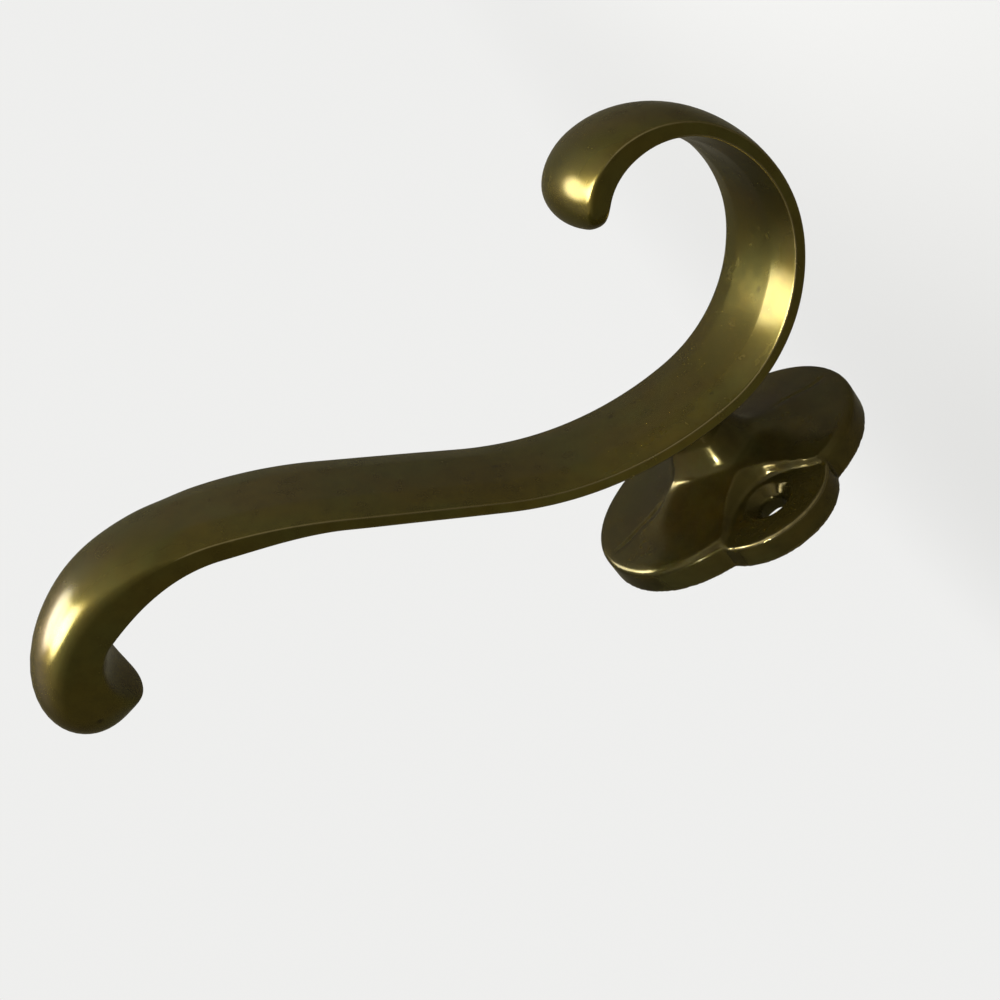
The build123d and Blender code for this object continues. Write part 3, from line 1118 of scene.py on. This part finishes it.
# ---- The casting ----
@dataclass
class HookCasting:
    """The whole casting: strap and rose fused, hand finished, then aged.

    Attributes:
        strap: The S-shaped strap.
        rose: The rose and stem.
        ripple: Height of the waves that hand finishing leaves, broad and fine.
        ripple_lengths: Lengths of those waves.
        rose_depth: How far from the wall the rose's softer edges reach.
        rose_finish: Depth and radius within which the rose's own finish is used.
        worn_and_lit_bend: Bend of the surface at which an edge starts to be lightened and is fully
            lightened, as worn metal and as a painted highlight.
        hollow_bend: Bend the other way from which hollows are darkened, as patina and as painted
            shade.
        passes: Smoothing passes over the rose's edges and over the hollows.
    """
    strap: Strap = field(default_factory=Strap)
    rose: Rose = field(default_factory=Rose)
    ripple: Pair = (0.03 * MM, 0.006 * MM)
    ripple_lengths: Pair = (9.0 * MM, 2.6 * MM)
    rose_depth: float = 15 * MM
    rose_finish: Pair = (15.5 * MM, 26 * MM)
    worn_and_lit_bend: Pair = (0.25, 0.9)
    hollow_bend: float = 0.3
    passes: tuple[int, int] = (7, 12)

    def hand_finish(self, obj: Object) -> None:
        """Leave the slight waves of hand finishing in the surface, but not in the flat back.

        Args:
            obj: The casting.
        """
        places, normals = points_of(obj), rows_of(obj.data.vertices, "normal")
        broad, fine = self.ripple_lengths
        waves = np.array([self.ripple[0] * noise.noise(Vector(p / broad))
                          + self.ripple[1] * noise.noise(Vector(p / fine)) for p in places])
        clear = smoothstep(0.05 * MM, 1.0 * MM, -places[:, 1])
        move_points(obj, places + normals * (waves * clear)[:, None])

    def mark_wear_and_light(self, obj: Object) -> None:
        """Store how far each point is on an outer edge or in a hollow, for the finish to lighten
        edges as worn metal and painted highlight and to darken hollows as patina and painted shade.

        Args:
            obj: The casting.
        """
        mesh = obj.data
        places, normals = points_of(obj), rows_of(obj.data.vertices, "normal")
        ends = np.empty(len(mesh.edges) * 2, dtype=np.int64)
        mesh.edges.foreach_get("vertices", ends)
        first, last = ends.reshape(-1, 2).T
        count = len(places)
        meeting = np.bincount(first, minlength=count) + np.bincount(last, minlength=count)

        def gather(at_first: np.ndarray, at_last: np.ndarray) -> np.ndarray:
            total = np.bincount(first, at_first, count) + np.bincount(last, at_last, count)
            return total / np.maximum(meeting, 1)

        def spread(values: np.ndarray) -> np.ndarray:
            return gather(values[last], values[first])

        span = places[last] - places[first]
        square = np.maximum((span ** 2).sum(1), 1e-14)
        bend = MM * gather(-(span * normals[first]).sum(1) / square,
                           (span * normals[last]).sum(1) / square)
        bend = 0.5 * bend + 0.5 * spread(bend)
        cast = (-places[:, 1] < self.rose_depth).astype(float)
        rose_passes, hollow_passes = self.passes
        for _ in range(rose_passes):
            bend += cast * 0.6 * (spread(bend) - bend)
        # Edges lightened as worn metal and as a painted highlight; hollows below darkened as patina
        # and as painted shade.
        edge = smoothstep(*self.worn_and_lit_bend, bend * (1 + cast))
        edge = np.maximum(edge, (1 - cast) * spread(edge))
        hollow = np.clip(-bend - self.hollow_bend, 0, 1)
        for _ in range(hollow_passes):
            hollow = 0.3 * hollow + 0.7 * spread(hollow)
        for name, values in ((EDGE, edge), (HOLLOW, hollow)):
            layer = mesh.attributes.new(name, "FLOAT", "POINT")
            layer.data.foreach_set("value", values.astype(np.float32))

    def build(self) -> Object:
        """Cast the hook and finish its surface by hand.

        Returns:
            The casting, which stands for the CAD solid.
        """
        casting = self.rose.build()
        LOG.info("rose and stem: %d faces", len(casting.data.polygons))
        strap = self.strap.build()
        LOG.info("strap: %d faces", len(strap.data.polygons))
        combine(casting, strap, "UNION")
        casting.name = casting.data.name = SURFACE
        self.hand_finish(casting)
        casting.data.polygons.foreach_set("use_smooth", [True] * len(casting.data.polygons))
        self.mark_wear_and_light(casting)
        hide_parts(NODE)
        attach(casting, "root")
        return casting

    def dress(self, casting: Object, shelf: EffectShelf) -> None:
        """Give the strap and the rose their finishes.

        Args:
            casting: The casting.
            shelf: Where the effect groups are.
        """
        strap_brass = AgedBrass("strap_finish_brass")
        # The rose gets a darker copy of the strap's brass, with darker skin colours.
        rose_brass = AgedBrass("rose_brass", dark=(0.022, 0.016, 0.003, 1.0),
                               warm=(0.050, 0.036, 0.0065, 1.0), olive=(0.042, 0.037, 0.0095, 1.0),
                               roughness=(0.17, 0.25), metal=0.5, grain=0.05)
        casting.data.materials.clear()
        for finish in (strap_brass, rose_brass):
            casting.data.materials.append(finish.material(shelf))
        across, inwards, up = rows_of(casting.data.polygons, "center").T
        depth, radius = self.rose_finish
        on_rose = (-inwards < depth) & (np.hypot(across, up) < radius)
        casting.data.polygons.foreach_set("material_index", on_rose.astype(np.int32))


# ---- Studio ----
@dataclass
class Lamp:
    """One soft lamp.

    Attributes:
        name: The lamp's name.
        direction: Where it stands, seen from the hook.
        distance: How far away.
        size: Width and height of its face.
        power: Watts.
        aim: What it points at, from the middle of the hook.
        spread: Degrees that its light fans out over.
        lights_floor: Whether it also falls on the floor.
    """
    name: str
    direction: Triple
    distance: float
    size: Pair
    power: float
    aim: Triple = (0.0, 0.0, 0.0)
    spread: float = 180.0
    lights_floor: bool = True

    def place(self, target: Vector) -> None:
        """Hang the lamp and aim it.

        Args:
            target: The middle of the hook.
        """
        data = bpy.data.lights.new(self.name, "AREA")
        data.shape = "RECTANGLE"
        data.size, data.size_y = self.size
        data.energy = self.power
        data.spread = radians(self.spread)
        lamp = bpy.data.objects.new(self.name, data)
        toward = Vector(self.direction).normalized()
        lamp.location = target + Vector(self.aim) + toward * self.distance
        lamp.rotation_euler = toward.to_track_quat("Z", "Y").to_euler()
        bpy.context.scene.collection.objects.link(lamp)
        if not self.lights_floor:
            lit = bpy.data.collections.new(self.name)
            lit.objects.link(bpy.data.objects[SURFACE])
            lamp.light_linking.receiver_collection = lit


@dataclass(frozen=True)
class Glow:
    """A soft bright part of the surroundings.

    Attributes:
        direction: Where it is, seen from the hook.
        spread: Degrees from its middle to where it has faded.
        core: Degrees from its middle to where it starts to fade.
        strength: How bright its middle is.
    """
    direction: Triple
    spread: float
    core: float
    strength: float


@dataclass
class Studio:
    """Pale floor, pale surroundings, soft lamps and the camera.

    Attributes:
        eye: Where the camera stands.
        azimuth, elevation, roll: Which way it looks, in degrees.
        lens, sensor: Its lens and sensor width, in millimetres.
        pale: Colour of the floor and of what lies behind the hook.
        plain_light: Strength of the even light on matt surfaces.
        room, glow: Colours of the dim room and of its bright parts, as metal mirrors them.
        glows: The bright parts.
        floor_drop, floor_reach: How far below the hook the floor lies, and its radius.
        floor_fade: Distances over which it melts into the surroundings.
        lamps: The lamps.
    """
    eye: Triple = (-0.20038, -0.12938, 0.03492)
    azimuth: float = 62.905
    elevation: float = -0.671
    roll: float = 130.372
    lens: float = 50.4
    sensor: float = 36.0
    pale: Colour = (0.86, 0.86, 0.85, 1.0)
    plain_light: float = 0.66
    room: Colour = (0.20, 0.185, 0.14, 1.0)
    glow: Colour = (1.0, 0.97, 0.88, 1.0)
    glows: tuple[Glow, ...] = (Glow((0.0, -0.53, 0.85), 63.0, 3.0, 0.52),
                               Glow((-0.53, -0.85, 0.0), 63.0, 3.0, 0.26),
                               Glow((0.53, -0.85, 0.0), 63.0, 3.0, 0.30),
                               Glow((0.33, -0.68, 0.65), 56.0, 8.0, 1.0),
                               Glow((0.32, -0.68, 0.66), 17.5, 7.5, 44.0),
                               Glow((0.69, -0.47, 0.55), 14.0, 5.0, 26.0))
    floor_drop: float = 0.09
    floor_reach: float = 3.0
    floor_fade: Pair = (0.18, 0.6)
    lamps: tuple[Lamp, ...] = (
        Lamp("window softbox", (0.33, -0.68, 0.65), 0.60, (0.34, 0.22), 3.4),
        Lamp("snooted accent", (-0.71, -0.30, 0.65), 0.60, (0.03, 0.03), 0.004,
             aim=(-0.006, 0.022, -0.034), spread=6.0, lights_floor=False),
    )

    def camera(self) -> None:
        """Set the camera at its viewing angle."""
        azimuth, elevation, roll = map(radians, (self.azimuth, self.elevation, self.roll))
        ahead = Vector((sin(azimuth) * cos(elevation), cos(azimuth) * cos(elevation),
                        sin(elevation)))
        level = ahead.cross(Vector((0, 0, 1))).normalized()
        above = level.cross(ahead)
        up = above * cos(roll) + level * sin(roll)
        right = ahead.cross(up)
        data = bpy.data.cameras.new("camera")
        data.lens = self.lens
        data.sensor_width = self.sensor
        data.clip_start, data.clip_end = 0.01, 20.0
        camera = bpy.data.objects.new("camera", data)
        turn = Matrix((right, up, -ahead)).transposed().to_4x4()
        camera.matrix_world = Matrix.Translation(Vector(self.eye)) @ turn
        bpy.context.scene.collection.objects.link(camera)
        bpy.context.scene.camera = camera

    def surroundings(self) -> None:
        """Pale to the camera, plain to matt surfaces, and softly graded to what mirrors it."""
        world = bpy.data.worlds.new("studio")
        world.use_nodes = True
        bench = Bench(world.node_tree)
        rays = bench.add("ShaderNodeLightPath")
        toward = bench.add("ShaderNodeTexCoord").outputs["Generated"]
        mirrored = bench.add("ShaderNodeBackground", {"Color": self.room}).outputs[0]
        for glow in self.glows:
            middle = Vector(glow.direction).normalized()
            near = bench.add("ShaderNodeVectorMath", {0: toward, 1: middle},
                             operation="DOT_PRODUCT").outputs["Value"]
            strength = bench.ramp(near, cos(radians(glow.spread)), cos(radians(glow.core)),
                                  0.0, glow.strength)
            light = bench.add("ShaderNodeBackground", {"Color": self.glow, "Strength": strength})
            mirrored = bench.add("ShaderNodeAddShader",
                                 {0: mirrored, 1: light.outputs[0]}).outputs[0]
        lit = bench.add("ShaderNodeBackground", {"Color": self.pale, "Strength": self.plain_light})
        shown = bench.add("ShaderNodeBackground", {"Color": self.pale})
        dull = bench.add("ShaderNodeMixShader", {0: rays.outputs["Is Glossy Ray"],
                                                 1: lit.outputs[0], 2: mirrored})
        both = bench.add("ShaderNodeMixShader", {0: rays.outputs["Is Camera Ray"],
                                                 1: dull.outputs[0], 2: shown.outputs[0]})
        bench.add("ShaderNodeOutputWorld", {"Surface": both.outputs[0]})
        bpy.context.scene.world = world

    def floor(self, lowest: float) -> None:
        """Lay a pale floor that melts into the surroundings away from the hook.

        Args:
            lowest: Height of the hook's lowest point.
        """
        rows, count = 24, 96
        turn = np.linspace(0, 2 * pi, count, endpoint=False)
        level = np.full(count, lowest - self.floor_drop)
        rings = [np.stack([radius * np.cos(turn), radius * np.sin(turn), level], 1)
                 for radius in np.linspace(0.05, self.floor_reach, rows)]
        floor = mesh_object("floor", np.concatenate(rings),
                            [tuple(range(count))] + bands(rows, count))
        material = bpy.data.materials.new("pale_floor")
        material.use_nodes = True
        bench = Bench(material.node_tree)
        place = bench.add("ShaderNodeTexCoord").outputs["Object"]
        length = bench.add("ShaderNodeVectorMath", {0: place}, operation="LENGTH").outputs["Value"]
        away = bench.ramp(length, *self.floor_fade)
        paint = bench.add("ShaderNodeBsdfDiffuse", {"Color": self.pale})
        glow = bench.add("ShaderNodeEmission", {"Color": self.pale, "Strength": 1.0})
        both = bench.add("ShaderNodeMixShader", {0: away, 1: paint.outputs[0], 2: glow.outputs[0]})
        bench.add("ShaderNodeOutputMaterial", {"Surface": both.outputs[0]})
        floor.data.materials.append(material)
        floor.visible_glossy = False

    def build(self) -> None:
        """Set up the whole studio round the hook."""
        low, high = (Vector(corner) for corner in CAD_BOX)
        self.surroundings()
        self.floor(low.z)
        for lamp in self.lamps:
            lamp.place((low + high) / 2)
        self.camera()
        bpy.context.scene.view_settings.view_transform = "Standard"


def main() -> None:
    """Build and dress the hook, then the studio, and report each piece."""
    logging.basicConfig(level=logging.INFO, format="%(name)s: %(message)s")
    shelf = EffectShelf()
    hook = HookCasting()
    casting = hook.build()
    hook.dress(casting, shelf)
    LOG.info("%s: %d faces", casting.name, len(casting.data.polygons))
    Studio().build()
    LOG.info("studio ready")


if __name__ == "__main__":
    main()
